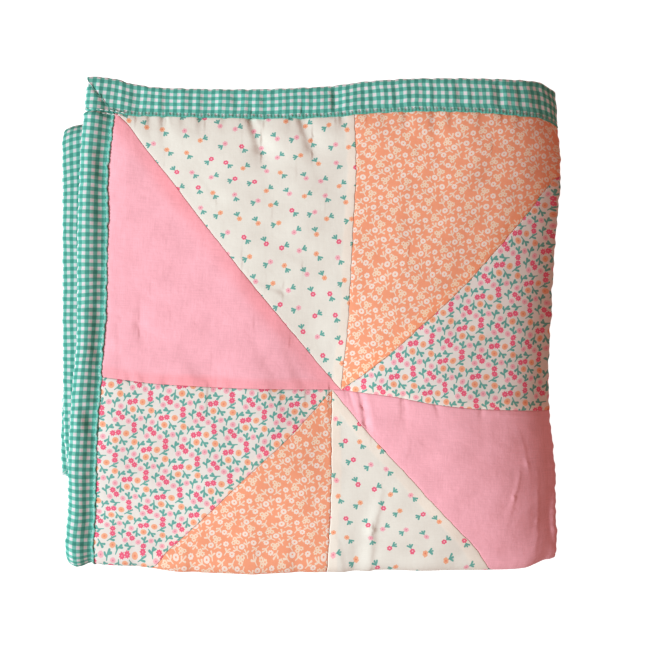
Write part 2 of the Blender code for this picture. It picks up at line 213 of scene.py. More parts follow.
# soft creases and puckers: start u, v, end u, v, half width and height, share of it at each end
creases = np.array([
    # plain triangle at the upper left
    (60.4, 195, 57.2, 231.8, 4.2, -1.2, 0.1, 1), (57.2, 231.8, 64.5, 262.1, 4, -0.9, 0.9, 0.1),
    (28.7, 220.8, 44.3, 220.8, 1.8, -0.4, 1, 0.1), (66.9, 207, 108.2, 220.8, 4, -0.7, 0.8, 0.1),
    (86, 236, 123.5, 280, 9, -1.9, 0.1, 0.8), (103.8, 271.3, 126.9, 285, 2.4, -0.5, 0.1, 0.6),
    (38.9, 231.8, 42.4, 280.5, 3, -0.6, 0.6, 0.8), (51.7, 282, 49, 270, 1.8, -0.9, 1, 0.1),
    (66, 284, 62.7, 271.3, 2.4, -0.8, 1, 0.1), (85.8, 286, 84.5, 274, 2.4, -0.9, 1, 0.1),
    (145.3, 288.8, 142, 274, 3, -0.8, 1, 0.1), (181, 290, 176, 276, 3, -0.7, 1, 0.1),
    (43.3, 45.8, 48, 72, 2.2, -0.5, 1, 0.1), (46.7, 56.5, 56, 90, 3, 0.4, 1, 0.1),
    (76, 86, 72, 130, 5, -0.5, 0.8, 0.3), (150, 190, 125, 245, 8, 0.7, 0.8, 0.5),
    (162, 242, 190, 286, 7, -1.6, 0.4, 1), (195, 256, 212, 288, 5, -1.5, 0.5, 1),
    (172, 208, 233, 280, 10, -2.6, 0.1, 1),
    # sparse print at the top
    (59.3, 30, 61.3, 46, 1.6, -1.3, 1, 0.2), (72, 29, 75.4, 56, 2, -1.8, 1, 0.2),
    (76.6, 29, 80, 44, 1.6, 0.8, 1, 0.1), (90.3, 29.5, 92.1, 48, 2.2, -1, 1, 0.1),
    (105.8, 29.5, 109.8, 50.9, 2.2, -1.3, 1, 0.1), (128.7, 30, 130.4, 47, 2.6, -1, 1, 0.1),
    (152.5, 30, 162.6, 60.6, 3, -2.8, 1, 0.7), (162.6, 60.6, 176, 110, 6, -2.4, 0.8, 0.2),
    (157, 30, 162, 44, 1.8, 0.9, 1, 0.1), (188.1, 30.5, 190.3, 46.4, 2.4, -1.1, 1, 0.1),
    (198.2, 31.3, 208.6, 59.8, 3, -2.7, 1, 0.6), (208.6, 59.8, 223, 98, 6, -2.1, 0.8, 0.2),
    (234.7, 32.5, 236.5, 46, 1.8, -1.3, 1, 0.1), (232, 32.5, 232, 42.1, 1.5, 0.7, 1, 0.1),
    (156, 188, 188, 201, 2.4, -1, 0.3, 0.8), (188, 201, 200, 208, 3, -0.8, 1, 0.1),
    (108, 86, 125, 112, 3, -0.7, 0.2, 0.8), (170, 156, 205, 170, 5, -0.9, 0.2, 0.8),
    (145, 70, 150, 150, 9, 0.8, 0.6, 0.4), (195, 100, 205, 180, 9, 0.7, 0.6, 0.3),
    # coral print
    (293.1, 33.7, 294.4, 58.4, 2, -1.3, 1, 0.1), (318.6, 34.3, 320.5, 68.4, 2.4, -1.4, 1, 0.1),
    (334.1, 34.5, 335.1, 54.4, 2, -1.1, 1, 0.1), (398.4, 36.8, 398.2, 58.4, 2.2, -1.3, 1, 0.1),
    (274, 33.5, 274.5, 47, 2.4, -1, 1, 0.1), (362, 35, 363, 56, 2.6, -1, 1, 0.1),
    (302, 90, 300, 150, 8, -1.3, 0.5, 0.8), (370, 80, 360, 140, 8, -1, 0.8, 0.3),
    # plain triangle at the lower right
    (248.5, 292.5, 251.2, 304.4, 1.3, -0.9, 1, 0.3), (252.2, 294.3, 257, 310.9, 1.3, -1.3, 1, 0.5),
    (254.8, 295, 260, 311, 0.9, 0.5, 1, 0.2), (261.3, 294.3, 263.9, 306.3, 1.6, -1.5, 1, 1),
    (263.9, 306.3, 266, 322, 1.8, -1.7, 1, 1), (266, 322, 270.1, 331, 1.8, -1.5, 1, 0.5),
    (269, 298, 274, 326, 3.2, 0.9, 0.6, 0.6), (299.6, 300, 299.8, 316.4, 1.3, -1.1, 1, 0.4),
    (329.2, 305, 333.2, 318.2, 1.3, -0.9, 1, 0.2), (370.6, 309.5, 369.7, 320.1, 1.3, -0.8, 1, 0.2),
    (304.7, 338.8, 300.5, 353.9, 1.2, 0.3, 0.7, 0.7), (301, 318, 306, 340, 7, -0.8, 1, 0.1),
    (402.8, 369.7, 397.3, 391.7, 1.1, 0.6, 0.6, 1), (397.3, 391.7, 388.5, 422.8, 1.1, 0.6, 1, 0.2),
    (405.1, 330, 410.7, 361.7, 1.4, 0.5, 0.3, 1), (410.7, 361.7, 411.6, 380, 1, 0.4, 1, 0.2),
    (420, 370, 419, 420, 1.2, 0.6, 0.3, 1), (419, 420, 415, 460, 1.2, 0.6, 1, 0.4),
    (388, 314.8, 440, 317, 0.9, 0.3, 0.7, 1),
    # sparse print at the bottom
    (278, 385.6, 270.3, 423, 2.4, 1.5, 0.3, 1), (270.3, 423, 267.8, 465, 2.6, 1.4, 1, 0.8),
    (238.6, 432.4, 247, 468, 2.4, 0.7, 0.5, 1), (255, 425, 256, 465, 3.5, -0.8, 0.3, 1),
    # prints at the lower left
    (130, 290, 128, 310, 4, -0.6, 1, 0.2), (70, 315, 76, 360, 8, 0.6, 0.5, 0.5),
    (200, 420, 205, 460, 4, -0.8, 0.3, 1), (165, 425, 167, 460, 4, 0.7, 0.3, 1),
    (110, 435, 112, 465, 3, -0.8, 0.3, 1), (62, 430, 60, 460, 3, -0.7, 0.2, 1),
    # gingham across the head
    (46.6, 4, 46.8, 29, 3.6, -1.3, 1, 0.9), (74.5, 6, 74, 27, 3.4, -0.9, 0.7, 1),
    (97, 6, 98, 27, 2.4, -0.4, 1, 0.6), (110.5, 3, 110.8, 28, 3.8, -1.3, 1, 0.8),
    (137, 6, 142, 22, 3, -1.1, 1, 0.6), (150, 5, 150.5, 29, 2.6, -0.8, 0.5, 1),
    (164, 3, 164.2, 29, 3.6, -1.3, 1, 0.9), (172.5, 1, 179, 9, 2.4, -1.2, 1, 0.3),
    (202, 6, 201, 27, 2.6, -0.5, 0.6, 1), (229.3, 3, 229.6, 30, 3.2, -1.3, 1, 1),
    (257.6, 6, 257, 31, 3.2, -1, 0.6, 1), (284, 6, 286, 29, 2.4, -0.6, 0.6, 0.8),
    (311, 5, 310, 30, 2.4, -0.5, 0.8, 0.6), (344, 6, 345, 30, 2.4, -0.6, 0.5, 1),
    (382.5, 4, 381, 33.5, 2.6, -1.4, 0.9, 1), (387.5, 4, 386.2, 33.5, 2.6, 0.7, 0.9, 1),
    (401, 6, 402, 33, 2.2, -0.6, 1, 0.6), (417, 4, 420, 34, 2.2, -0.7, 1, 0.8),
    # gingham down the side
    (14, 56, 20.5, 90, 4.4, -1.5, 0.3, 1), (17, 106, 21.5, 133, 4.2, -1.4, 0.4, 1),
    (12, 170, 21, 186, 2.4, -0.9, 0.3, 1), (17.5, 215, 20.5, 252, 4, -1.4, 0.8, 0.8),
    (8, 248, 20, 256, 1.6, -0.8, 0.5, 1), (8, 300, 18, 324, 3, -1.6, 0.5, 1),
    (8.5, 333, 19, 326, 2, -1, 1, 0.5), (6, 374, 15, 356, 1.5, -1.2, 1, 0.7),
    (15, 380, 19.5, 430, 2.4, -0.8, 0.8, 0.6), (4, 90, 11, 96, 2, -0.5, 1, 0.3),
    (2, 148, 9, 150, 2, -0.6, 1, 0.3), (2, 208, 9, 211, 2, -0.6, 1, 0.3), (2, 276, 8, 278, 2, -0.6, 1, 0.3),
    (2, 390, 8, 393, 2, -0.6, 1, 0.3),
]) * (mm, mm, mm, mm, mm, mm, 1, 1)


def shownOnTop(u, v):
    # 1 on what shows on top of the stack, 0 past its folds
    pastV = smooth((v - relief["lastV"]) / relief["fadeV"])
    return (1 - pastV) * (1 - smooth((u - relief["lastU"]) / relief["fadeU"]))


def creaseHeight(u, v):
    # each crease is a height times exp(-(distance / half width)^2) from the line between its ends, wider as
    # it fades; a trough is steeper on its left and a ridge on its right
    height = np.zeros(np.shape(u))
    for u0, v0, u1, v1, half, rise, first, last in creases:
        du, dv = u1 - u0, v1 - v0
        t = np.clip(((u - u0) * du + (v - v0) * dv) / (du * du + dv * dv), 0, 1)
        awayU, awayV = u - u0 - t * du, v - v0 - t * dv
        wide = half * relief["creaseWidth"] * (1 + relief["creaseSpread"] * max(first - last, 0) * t)
        wide = wide * np.where(awayU * rise < 0, *relief["creaseSides"])
        faded = relief["crease"] * rise * (first + (last - first) * t)
        height += faded * np.exp(-(awayU ** 2 + awayV ** 2) / wide ** 2)
    return height


def billowHeight(u, v):
    # crossed sines of unlike lengths, so no two dips match
    wave = np.sin(61 * u + 23 * v + 0.4) * np.sin(47 * v - 19 * u + 1.9)
    wave += 0.6 * np.sin(113 * u - 71 * v + 0.9) * np.sin(97 * v + 31 * u)
    wave += 0.4 * np.sin(151 * v + 139 * u + 2.1)
    return relief["billow"] * wave


def paddingHalf(u, v):
    # half the padding: thin at the stitched edge, rising as a square root over the draw-in
    side = np.where(u < quilt["width"] / 2, u - curve(sideEdge, 1, v), quilt["width"] - quilt["binding"] - u)
    end = np.where(v < length / 2, v - curve(headEdge, 1, u), length - quilt["binding"] - v)
    inset = np.clip(np.minimum(side, end) / quilt["drawIn"], 0, 1)
    return quilt["seamPly"] / 2 + (quilt["padding"] - quilt["seamPly"]) / 2 * np.sqrt(inset)


def newPiece(name, points, faceGroups, material, cloth=None, tints=None):
    # faceGroups are arrays of corners, one row a face; cloth is each vertex's place on its cloth, and tints
    # are named values of each vertex
    points = np.asarray(points, float).reshape(-1, 3)
    corners = np.concatenate([np.asarray(g).ravel() for g in faceGroups]).astype(np.int32)
    sizes = np.concatenate([np.full(len(g), np.shape(g)[1]) for g in faceGroups]).astype(np.int32)
    mesh = bpy.data.meshes.new(name)
    mesh.vertices.add(len(points))
    mesh.vertices.foreach_set("co", points.astype(np.float32).ravel())
    mesh.loops.add(len(corners))
    mesh.loops.foreach_set("vertex_index", corners)
    mesh.polygons.add(len(sizes))
    mesh.polygons.foreach_set("loop_start", np.concatenate([[0], np.cumsum(sizes)[:-1]]).astype(np.int32))
    mesh.polygons.foreach_set("loop_total", sizes)
    mesh.update(calc_edges=True)
    mesh.shade_smooth()
    if cloth is not None:
        layer = mesh.uv_layers.new(name="cloth")
        layer.data.foreach_set("uv", np.asarray(cloth, np.float32).reshape(-1, 2)[corners].ravel())
    for label, values in (tints or {}).items():
        layer = mesh.attributes.new(label, "FLOAT", "POINT")
        layer.data.foreach_set("value", np.asarray(values, np.float32).ravel())
    mesh.materials.append(material)
    piece = bpy.data.objects.new(name, mesh)
    bpy.context.scene.collection.objects.link(piece)
    return piece


def gridFaces(rows, columns, closed=False):
    # four corners a face over a grid; closed joins the last column to the first
    index = np.arange(rows * columns).reshape(rows, columns)
    if closed:
        index = np.concatenate([index, index[:, :1]], axis=1)
    return np.stack([index[:-1, :-1], index[1:, :-1], index[1:, 1:], index[:-1, 1:]], -1).reshape(-1, 4)


def stations(*spans):
    # places along one direction; each span is its start, end and step
    parts = [np.linspace(a, b, max(1, round((b - a) / step)), endpoint=False) for a, b, step in spans]
    return np.concatenate([*parts, [spans[-1][1]]])


def runLength(points):
    # distance travelled along a row of points
    step = np.linalg.norm(np.diff(points, axis=0), axis=1)
    return np.concatenate([[0], np.cumsum(step)])


class Wire:
    # one output of a material; arithmetic on wires adds Math nodes

    def __init__(self, bench, socket):
        self.bench, self.socket = bench, socket

    def maths(self, operation, *others, clamp=False):
        values = {0: self, **{k + 1: other for k, other in enumerate(others)}}
        return self.bench.node("ShaderNodeMath", {"operation": operation, "use_clamp": clamp}, values)

    def __add__(self, other):
        return self.maths("ADD", other)

    def __sub__(self, other):
        return self.maths("SUBTRACT", other)

    def __rsub__(self, other):
        return (self * -1.0).maths("ADD", other)

    def __mul__(self, other):
        return self.maths("MULTIPLY", other)

    def __truediv__(self, other):
        return self.maths("DIVIDE", other)

    __radd__, __rmul__ = __add__, __mul__


class Bench:
    # one material's nodes

    def __init__(self, name, roughness, sheen=0.0, specular=0.12):
        self.material = bpy.data.materials.new(name)
        self.material.use_nodes = True
        self.tree = self.material.node_tree
        self.shader = self.tree.nodes["Principled BSDF"]
        self.shader.inputs["Roughness"].default_value = roughness
        self.shader.inputs["Sheen Weight"].default_value = sheen
        self.shader.inputs["Specular IOR Level"].default_value = specular

    def node(self, kind, settings, sockets, out=0):
        # any node: its type, its settings, then the values or wires of its sockets
        made = self.tree.nodes.new(kind)
        for name, value in settings.items():
            setattr(made, name, value)
        for place, value in sockets.items():
            self.join(value, made.inputs[place])
        return Wire(self, made.outputs[out])

    def join(self, value, socket):
        if isinstance(value, Wire):
            self.tree.links.new(value.socket, socket)
        else:
            socket.default_value = value

    def feed(self, place, wire):
        self.join(wire, self.shader.inputs[place])

    def spot(self, x, y):
        return self.node("ShaderNodeCombineXYZ", {}, {0: x, 1: y})

    def split(self, vector):
        return [self.node("ShaderNodeSeparateXYZ", {}, {0: vector}, k) for k in (0, 1)]

    def along(self, operation, first, second, out=0):
        # a Vector Math node on two vectors
        return self.node("ShaderNodeVectorMath", {"operation": operation}, {0: first, 1: second}, out)

    def reach(self, vector):
        return self.node("ShaderNodeVectorMath", {"operation": "LENGTH"}, {0: vector}, "Value")

    def turned(self, vector, degrees):
        sockets = {"Vector": vector, "Angle": math.radians(degrees)}
        return self.node("ShaderNodeVectorRotate", {"rotation_type": "Z_AXIS"}, sockets)

    def blend(self, first, second, share):
        return self.node("ShaderNodeMix", {"data_type": "RGBA"}, {0: share, 6: first, 7: second}, 2)

    def times(self, colour, second, share=1.0):
        settings = {"data_type": "RGBA", "blend_type": "MULTIPLY"}
        return self.node("ShaderNodeMix", settings, {0: share, 6: colour, 7: second}, 2)

    def shaded(self, colour, red, rest):
        # the colour's red times one value, and its green and blue times another
        return self.times(colour, self.node("ShaderNodeCombineColor", {}, {0: red, 1: rest, 2: rest}))

    def tint(self, name):
        # a named value of the mesh
        return self.node("ShaderNodeAttribute", {"attribute_name": name}, {}, "Fac")

    def edge(self, depth, soft):
        # 0 to 1 as depth passes from -soft to soft
        sockets = {"Value": depth, "From Min": -soft, "From Max": soft}
        return self.node("ShaderNodeMapRange", {"interpolation_type": "SMOOTHSTEP"}, sockets)

    def noise(self, vector, scale, detail=2.0):
        return self.node("ShaderNodeTexNoise", {}, {"Vector": vector, "Scale": scale, "Detail": detail})

    def clothSpot(self):
        # the place on the cloth, in millimetres, as two wires
        return [part * 1000.0 for part in self.split(self.node("ShaderNodeUVMap", {"uv_map": "cloth"}, {}))]

    def bump(self, height, distance, strength=1.0):
        sockets = {"Strength": strength, "Distance": distance, "Height": height}
        self.feed("Normal", self.node("ShaderNodeBump", {}, sockets))

    def weave(self, u, v, thread, height, crumple, more=0.0):
        # raised threads over and under: sin(pi u / thread) sin(pi v / thread), on a fine crumple
        over = (u * (math.pi / thread)).maths("SINE") * (v * (math.pi / thread)).maths("SINE")
        self.bump(over * height + (self.noise(self.spot(u, v), 0.11, 3.0) - 0.5) * crumple + more, 0.001)

    def worn(self, colour, u, v, amount):
        # uneven dye: the colour times 1 plus or minus a slow noise, and thread by thread a finer one
        slow = self.noise(self.spot(u, v), 0.045) - 0.5
        weft, warp = (self.noise(self.spot(u * a, v * b), 1.0, 1.0) for a, b in ((0.07, 1.1), (1.1, 0.07)))
        shade = slow * amount + (weft + warp - 1.0) * (amount * 1.5) + 1.0
        return self.shaded(colour, shade, shade)


def tone(red, green, blue):
    # a display colour of 0 to 255 as linear light
    parts = [c / 255 for c in (red, green, blue)]
    return (*[c / 12.92 if c <= 0.04045 else ((c + 0.055) / 1.055) ** 2.4 for c in parts], 1.0)


dyes = {name: tone(*shade) for name, shade in {
    "pink": (251, 180, 192), "pinkTurned": (252, 164, 173), "cream": (233, 227, 217),
    "creamTurned": (244, 230, 216), "white": (233, 225, 219), "coral": (247, 162, 126),
    "coralTurned": (252, 160, 119), "coralFlower": (246, 225, 212), "coralSpray": (246, 219, 194),
    "coralStem": (245, 219, 198), "hotPink": (236, 104, 132), "rosePink": (236, 100, 130),
    "roseHeart": (248, 170, 188), "palePink": (248, 190, 202), "peach": (243, 174, 138),
    "peachHeart": (236, 128, 104), "softPink": (243, 178, 188), "softHeart": (228, 126, 146),
    "leaf": (104, 170, 159), "ginghamWhite": (226, 219, 223), "ginghamMid": (116, 190, 175),
    # the lip's teal: partly its thread, partly painted shade of the stitched groove
    "ginghamDark": (72, 152, 138), "hemThreadAndShade": (86, 166, 150), "thread": (238, 240, 238),
    "tealThread": (96, 170, 154), "backing": (232, 226, 216),
}.items()}


def sparseCell(bench, u, v):
    # square cells on the slant, each row half a cell on from the last; gives a motif's own x and y, turned
    # to one of four sides and a little off it, and a chance from 0 to 1
    size, slant, sway, seed = (sparse[key] for key in ("size", "slant", "sway", "seed"))
    across, down = math.cos(math.radians(slant)) / size, math.sin(math.radians(slant)) / size
    x = u * across + v * down + sparse["shift"][0]
    y = v * across - u * down + sparse["shift"][1]
    row = y.maths("FLOOR")
    x = x + row * 0.5
    column = x.maths("FLOOR")
    spot = {"Vector": bench.node("ShaderNodeCombineXYZ", {}, {0: column, 1: row, 2: seed})}
    settings = {"noise_dimensions": "3D"}
    chance = bench.node("ShaderNodeTexWhiteNoise", settings, spot, "Color")
    red, green, blue = (bench.node("ShaderNodeSeparateColor", {}, {0: chance}, k) for k in (0, 1, 2))
    dx = (x - column - 0.5 + (red - 0.5) * sway) * size
    dy = (y - row - 0.5 + (green - 0.5) * sway) * size
    angle = (blue * 4.0).maths("FLOOR") * (math.pi / 2) + green * 0.5 + 0.5
    cosine, sine = angle.maths("COSINE"), angle.maths("SINE")
    local = bench.spot(dx * cosine + dy * sine, dy * cosine - dx * sine)
    return local, bench.node("ShaderNodeTexWhiteNoise", settings, spot, "Value")


def repeatPlace(bench, u, v, repeat):
    # the place on the cloth pushed up to half of sway mm by a slow noise, then turned by the repeat's slant
    place, sway = bench.spot(u, v), repeat["sway"]
    sockets = {"Vector": place, "Scale": 0.02, "Detail": 0.0}
    push = bench.node("ShaderNodeTexNoise", {"noise_dimensions": "2D"}, sockets, "Color")
    push = bench.along("MULTIPLY", bench.along("SUBTRACT", push, (0.5, 0.5, 0.5)), (sway, sway, 0.0))
    return bench.turned(bench.along("ADD", place, push), repeat["slant"])


def nearest(bench, place, size, rows):
    # the way from the nearest of a repeat's motifs, in that motif's own frame; rows are x, y and turn
    best, least = None, None
    for x, y, turn in rows:
        away = bench.node("ShaderNodeVectorMath", {"operation": "WRAP"}, {
            0: bench.along("SUBTRACT", place, (x, y, 0.0)), 1: (size / 2,) * 3, 2: (-size / 2,) * 3})
        reach, away = bench.reach(away), bench.turned(away, -turn)
        if best is None:
            best, least = away, reach
        else:
            closer = reach.maths("LESS_THAN", least)
            best = bench.node("ShaderNodeMix", {"data_type": "VECTOR"}, {0: closer, 4: best, 5: away}, 1)
            least = least.maths("MINIMUM", reach)
    return best


def ringed(rows, reach, count):
    # count places round each row's own, reach mm off, starting the way it is turned
    return [(x + reach * math.cos(math.radians(turn + k * 360 / count)),
             y + reach * math.sin(math.radians(turn + k * 360 / count)), turn + 40 * k)
            for x, y, turn in rows for k in range(count)]


def disc(bench, local, centre, radius):
    # depth inside a circle: radius less the distance to its centre
    return radius - bench.reach(bench.along("SUBTRACT", local, (*centre, 0)))


def rosette(bench, local, centre, radius, petals, notch):
    # depth inside a circle whose radius is that times 1 + notch cos(petals x angle)
    near = bench.along("SUBTRACT", local, (*centre, 0))
    x, y = bench.split(near)
    wave = (y.maths("ARCTAN2", x) * petals).maths("COSINE")
    return wave * (radius * notch) + radius - bench.reach(near)


def blade(bench, local, start, end, first, last):
    # depth inside a round-ended stroke from start to end, whose half width goes from first to last
    run = (end[0] - start[0], end[1] - start[1], 0)
    near = bench.along("SUBTRACT", local, (*start, 0))
    square = run[0] ** 2 + run[1] ** 2
    share = bench.along("DOT_PRODUCT", near, run, "Value").maths("DIVIDE", square, clamp=True)
    onLine = bench.node("ShaderNodeVectorMath", {"operation": "SCALE"}, {0: run, "Scale": share})
    return share * (last - first) + first - bench.reach(bench.along("SUBTRACT", near, onLine))


def union(depths):
    # the deepest of several shapes
    whole = depths[0]
    for depth in depths[1:]:
        whole = whole.maths("MAXIMUM", depth)
    return whole


# each twig: strokes of start, end and half width at each in mm, in its motif's own frame
twigs = {
    "arrow": (((0.2, 0.0), (2.2, 0.0), 0.45, 0.50), ((1.1, 0.1), (3.2, 2.3), 0.58, 0.86),
              ((1.2, -0.1), (3.9, -1.8), 0.58, 0.86), ((1.8, 0.0), (4.3, 0.5), 0.55, 0.80)),
    "sprig": (((-4.3, -0.8), (0.2, 0.0), 0.46, 0.72), ((0.0, 0.0), (3.9, 0.6), 0.66, 1.14),
              ((-1.7, -0.2), (0.3, 2.8), 0.56, 1.14), ((0.4, 0.1), (3.0, -2.2), 0.56, 1.10)),
    "curl": (((-4.2, 1.0), (0.1, -0.1), 0.46, 0.72), ((0.0, -0.1), (3.9, 0.3), 0.66, 1.14),
             ((-1.6, 0.3), (0.4, -2.7), 0.56, 1.14), ((0.5, 0.0), (2.9, 2.4), 0.56, 1.10)),
    "fir": (((-3.6, 0.0), (2.0, 0.3), 0.44, 0.46), ((-0.7, 0.2), (1.3, 2.5), 0.44, 0.84),
            ((-0.2, 0.1), (1.9, -2.1), 0.44, 0.84), ((1.9, 0.3), (3.7, 1.2), 0.46, 0.80)),
    "firLeft": (((-3.4, 0.5), (2.0, -0.5), 0.44, 0.46), ((-0.3, 0.0), (1.7, 2.0), 0.44, 0.84),
                ((-1.2, 0.1), (0.4, -2.5), 0.44, 0.84), ((1.8, -0.4), (3.7, -1.0), 0.46, 0.80)),
}
sparse = {"size": 17.8, "slant": 17, "shift": (0.3, 0.1), "sway": 0.22, "seed": 3.0, "flower": (-2.4, 0.0)}
# each repeat: its size and sway in mm, its slant, then x, y in mm and turn in degrees of each motif in it
coralRepeat = {
    "size": 32.4, "sway": 4.0, "slant": 31,
    "rings": ((5.2, 9.8, 302), (16.5, 9.8, 122), (12.5, 31.8, 165), (17.2, 20.9, 207)),
    "daisies": ((25.2, 2.7, 279), (27.7, 24.4, 53), (27.1, 13.5, 158)),
    "sprays": ((19.0, 28.2, 134), (0.8, 19.3, 228), (1.5, 3.2, 41)),
    "fir": ((32.2, 27.4, 127), (23.4, 9.7, 322), (12.5, 24.6, 255), (25.0, 19.8, 142), (0.1, 11.1, 226)),
    "firLeft": ((7.2, 32.3, 254), (7.2, 17.3, 278), (10.5, 8.7, 292), (17.4, 2.9, 352), (16.3, 15.6, 174)),
}
denseRepeat = {
    "size": 33.0, "sway": 4.0, "slant": -23,
    "pairs": ((21.5, 25.6, 201), (25.7, 9.2, 321), (5.1, 29.8, 62)),
    "peach": ((1.3, 5.0, 56), (29.1, 15.2, 96), (12.1, 8.3, 317)),
    "soft": ((6.7, 19.4, 184), (18.0, 18.0, 305), (30.7, 26.9, 230), (19.5, 31.5, 267)),
    "sprig": ((7.8, 3.6, 286), (1.8, 23.1, 240), (24.1, 18.8, 55), (1.9, 12.4, 20)),
    "curl": ((13.7, 27.7, 248), (11.9, 17.1, 265), (18.1, 8.3, 284), (26.4, 1.5, 159)),
}


def twig(bench, local, name):
    return union([blade(bench, local, *stroke) for stroke in twigs[name]])


# a seam's painted shadow and its hollow, and what is taken off them where a patch lies over its neighbour
seam = {"reach": 0.75, "overReach": 0.40, "shade": 0.24, "overShade": 0.17,
        "hollow": 0.42, "overHollow": 0.16}


def finishCloth(bench, colour, u, v, ground, uneven, crumple=0.30):
    # the turned cloth beside a seam shows through as a warmer band; at the seam itself the cloth rounds down
    #     # by a depth times exp(-distance / reach), and by the same fall-off its colour is darkened as
    #     painted shade,
    #     # both less where it lies over its neighbour
    band, distance, over = (bench.tint(name) for name in ("turnedCloth", "seamDistance", "seamOver"))
    turned = (*[b / a for a, b in zip(dyes[ground][:3], dyes[ground + "Turned"][:3])], 1.0)
    reach = seam["reach"] - over * seam["overReach"]
    near = (0.0 - distance.maths("MAXIMUM", 0.0) / reach).maths("EXPONENT")
    # painted shade: the colour darkened towards the seam, its red less than its green and blue
    shade = 1.0 - near * (seam["shade"] - over * seam["overShade"])
    shadowed = bench.shaded(bench.times(colour, turned, band), shade * 0.5 + 0.5, shade)
    bench.feed("Base Color", bench.worn(shadowed, u, v, uneven))
    hollow = near * (over * seam["overHollow"] - seam["hollow"])
    bench.weave(u, v, thread=0.34, height=0.010, crumple=crumple, more=hollow)
    return bench.material


def plainPink():
    bench = Bench("plainPinkCotton", 0.9, sheen=0.03)
    u, v = bench.clothSpot()
    return finishCloth(bench, dyes["pink"], u, v, "pink", 0.12, crumple=0.5)


def sparseFlowers():
    # one small flower and an arrow-shaped leaf in each cell, on cream
    bench = Bench("sparseFloralCotton", 0.9, sheen=0.03)
    u, v = bench.clothSpot()
    local, chance = sparseCell(bench, u, v)
    flower = sparse["flower"]
    isHot, isPeach = chance.maths("LESS_THAN", 0.24), chance.maths("GREATER_THAN", 0.62)
    petal = bench.blend(bench.blend(dyes["softPink"], dyes["hotPink"], isHot), dyes["peach"], isPeach)
    heart = bench.blend(bench.blend(dyes["softHeart"], dyes["palePink"], isHot), dyes["peachHeart"], isPeach)
    colour = bench.blend(dyes["cream"], dyes["leaf"], bench.edge(twig(bench, local, "arrow"), 0.16))
    petals = rosette(bench, local, flower, radius=2.28, petals=6, notch=0.09)
    colour = bench.blend(colour, petal, bench.edge(petals, 0.18))
    colour = bench.blend(colour, heart, bench.edge(disc(bench, local, flower, 0.66), 0.26))
    return finishCloth(bench, colour, u, v, "cream", 0.035)


def coralFlowers():
    # cream rings, daisies and sprays of three small open flowers, with twigs between them, on coral
    bench = Bench("coralFloralCotton", 0.9, sheen=0.03)
    u, v = bench.clothSpot()
    place = repeatPlace(bench, u, v, coralRepeat)
    flowers, hearts = [], []
    for rows, radius, petals, notch, hole in (
            (coralRepeat["rings"], 2.60, 12, 0.04, 0.78), (coralRepeat["daisies"], 2.42, 7, 0.09, 0.70),
            (ringed(coralRepeat["sprays"], 2.15, 3), 2.00, 6, 0.14, 0.68)):
        local = nearest(bench, place, coralRepeat["size"], rows)
        flowers.append(rosette(bench, local, (0, 0), radius, petals, notch))
        hearts.append(disc(bench, local, (0, 0), hole))
    stems = union([twig(bench, nearest(bench, place, coralRepeat["size"], coralRepeat[name]), name)
                   for name in ("fir", "firLeft")])
    clear = 1.0 - bench.edge(union(flowers) + 0.45, 0.16)  # a twig stops short of a flower
    colour = bench.blend(dyes["coral"], dyes["coralStem"], bench.edge(stems, 0.16) * clear)
    for dye, depths in (("coralSpray", flowers[2:]), ("coralFlower", flowers[:2]), ("coral", hearts)):
        colour = bench.blend(colour, dyes[dye], bench.edge(union(depths), 0.16))
    return finishCloth(bench, colour, u, v, "coral", 0.035)


def denseFlowers():
    # paired hot pink rosettes, peach discs and soft pink flowers, with leafy twigs between them, on white
    bench = Bench("denseFloralCotton", 0.9, sheen=0.03)
    u, v = bench.clothSpot()
    place = repeatPlace(bench, u, v, denseRepeat)
    leaves = union([twig(bench, nearest(bench, place, denseRepeat["size"], denseRepeat[name]), name)
                    for name in ("sprig", "curl")])
    paint = []
    for rows, radius, petals, notch, petal, hole, heart, soft in (
            (denseRepeat["soft"], 2.50, 9, 0.05, "softPink", 0.70, "softHeart", 0.55),
            (denseRepeat["peach"], 2.85, 11, 0.03, "peach", 0.85, "peachHeart", 0.80),
            (ringed(denseRepeat["pairs"], 2.50, 2), 2.56, 8, 0.16, "rosePink", 0.42, "roseHeart", 0.28)):
        local = nearest(bench, place, denseRepeat["size"], rows)
        paint.append((rosette(bench, local, (0, 0), radius, petals, notch), dyes[petal], 0.16))
        paint.append((disc(bench, local, (0, 0), hole), dyes[heart], soft))
    clear = 1.0 - bench.edge(union([depth for depth, dye, soft in paint]) + 0.35, 0.2)
    colour = bench.blend(dyes["white"], dyes["leaf"], bench.edge(leaves, 0.16) * clear)
    for depth, dye, soft in paint:
        colour = bench.blend(colour, dye, bench.edge(depth, soft))
    return finishCloth(bench, colour, u, v, "cream", 0.035)


gingham = {"check": 7.0, "sway": 3.2, "stripe": 0.232, "soft": 0.055}  # mm, mm and shares of a check


def ginghamCotton():
    # two crossed sets of stripes: white where neither runs, dark where both do; over the lip by the stitched
    #     # edge a teal tint that is partly its teal thread and partly painted shade of the stitched groove
    bench = Bench("ginghamCotton", 0.88, sheen=0.03)
    u, v = bench.clothSpot()
    stripes = []
    for along, scale in ((u, 0.021), (v, 0.027)):
        sway = (bench.noise(bench.spot(u, v), scale, 1.0) - 0.5) * gingham["sway"]
        place = (along + sway) * (1 / gingham["check"])
        place = (place - place.maths("FLOOR") - 0.5).maths("ABSOLUTE") - gingham["stripe"]
        stripes.append(bench.edge(place, gingham["soft"]))
    first, second = stripes
    colour = bench.blend(dyes["ginghamWhite"], dyes["ginghamMid"], first.maths("MAXIMUM", second))
    colour = bench.blend(colour, dyes["ginghamDark"], first * second)
    # the lip's teal tint: partly the thread over it, partly painted shade of the groove beside the stitched
    # edge
    colour = bench.blend(colour, dyes["hemThreadAndShade"], bench.tint("hemThreadAndShade"))
    bench.feed("Base Color", bench.worn(colour, u, v, 0.10))
    bench.weave(u, v, thread=0.42, height=0.016, crumple=0.45)
    return bench.material


